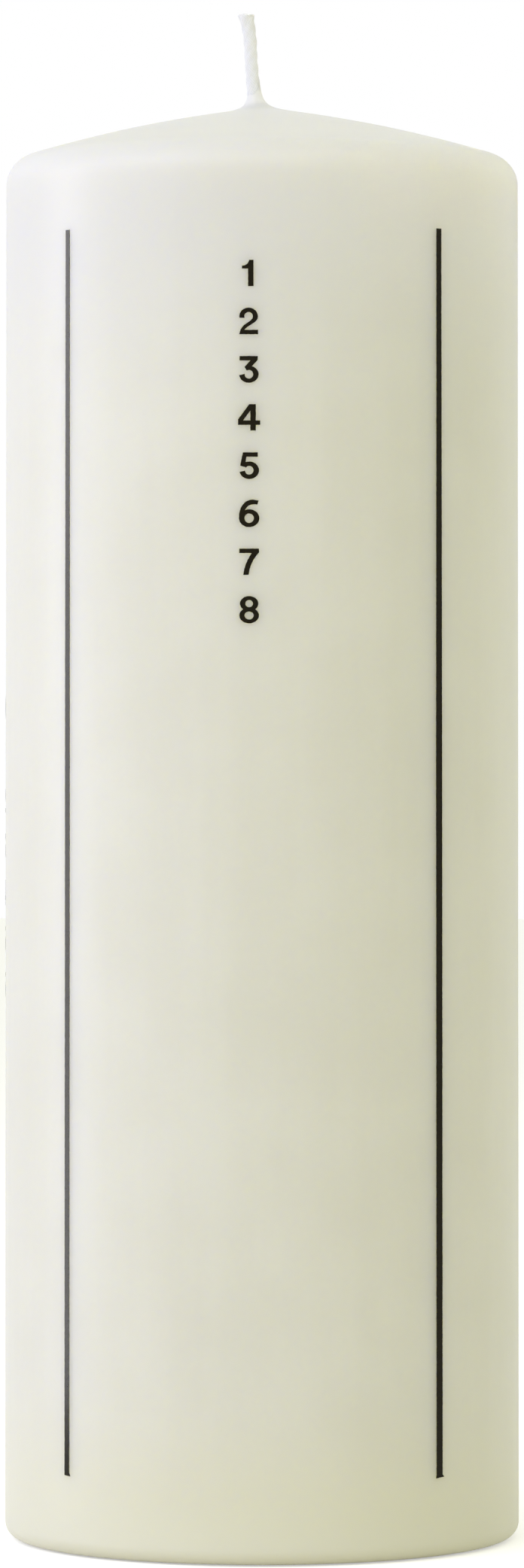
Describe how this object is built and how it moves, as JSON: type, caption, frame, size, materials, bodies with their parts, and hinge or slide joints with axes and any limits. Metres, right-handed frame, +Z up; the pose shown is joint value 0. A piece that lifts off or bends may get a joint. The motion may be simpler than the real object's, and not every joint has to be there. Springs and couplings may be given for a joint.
{
  "type": "calendar candle",
  "caption": "Tall round ivory calendar candle with a domed crown, a leaning wick and a printed day scale stepping down round the wall.",
  "frame": {"origin": "middle of the base, on the surface that the candle stands on", "axes": "+Z up along the candle's axis; the panel with the first numerals faces -Y, and the scale goes on round to -X and then +Y; the panel that faces +X is bare"},
  "size_m": [0.0701, 0.0701, 0.2075],
  "materials": {
    "core_wax": "pressed white wax",
    "ivory_wax": "satin ivory dipped wax",
    "wick_cotton": "waxed braided cotton",
    "tab_metal": "tin-plated sheet",
    "print_ink": "satin dark brown transfer print"
  },
  "bodies": {
    "root": {"wax_core": "core_wax", "dip_coat": "ivory_wax", "wick": "wick_cotton", "wick_tab": "tab_metal", "divider_line_1": "print_ink", "divider_line_2": "print_ink", "divider_line_3": "print_ink", "divider_line_4": "print_ink", "numeral_01": "print_ink", "numeral_02": "print_ink", "numeral_03": "print_ink", "numeral_04": "print_ink", "numeral_05": "print_ink", "numeral_06": "print_ink", "numeral_07": "print_ink", "numeral_08": "print_ink", "numeral_09": "print_ink", "numeral_10": "print_ink", "numeral_11": "print_ink", "numeral_12": "print_ink", "numeral_13": "print_ink", "numeral_14": "print_ink", "numeral_15": "print_ink", "numeral_16": "print_ink", "numeral_17": "print_ink", "numeral_18": "print_ink", "numeral_19": "print_ink", "numeral_20": "print_ink", "numeral_21": "print_ink", "numeral_22": "print_ink", "numeral_23": "print_ink", "numeral_24": "print_ink"}
  },
  "joints": []
}
